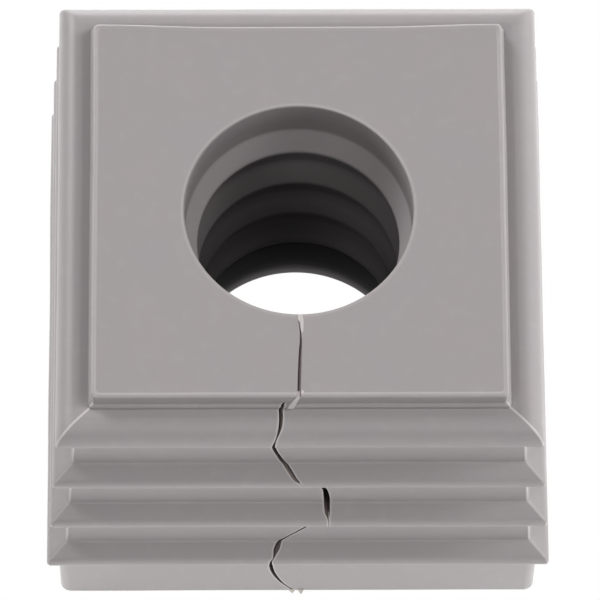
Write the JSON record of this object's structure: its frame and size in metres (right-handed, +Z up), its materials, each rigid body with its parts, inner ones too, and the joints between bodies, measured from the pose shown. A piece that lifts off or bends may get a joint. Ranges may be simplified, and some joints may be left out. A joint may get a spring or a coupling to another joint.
{
  "type": "split cable grommet",
  "caption": "Square tapered rubber grommet with ribbed flanks, a lipped cable bore and a wavy slit, pressed into a frame cell to seal and hold a cable.",
  "frame": {"origin": "centre of the foot face, on the bore's axis", "axes": "+Z up along the bore, from the wide foot to the narrow top land; -Y faces the flank that the slit runs through"},
  "size_m": [0.0222, 0.0222, 0.0175],
  "materials": {
    "grey_rubber": "matte moulded elastomer, mid grey with a slight warm cast"
  },
  "bodies": {
    "root": {"grommet": "grey_rubber"}
  },
  "joints": []
}
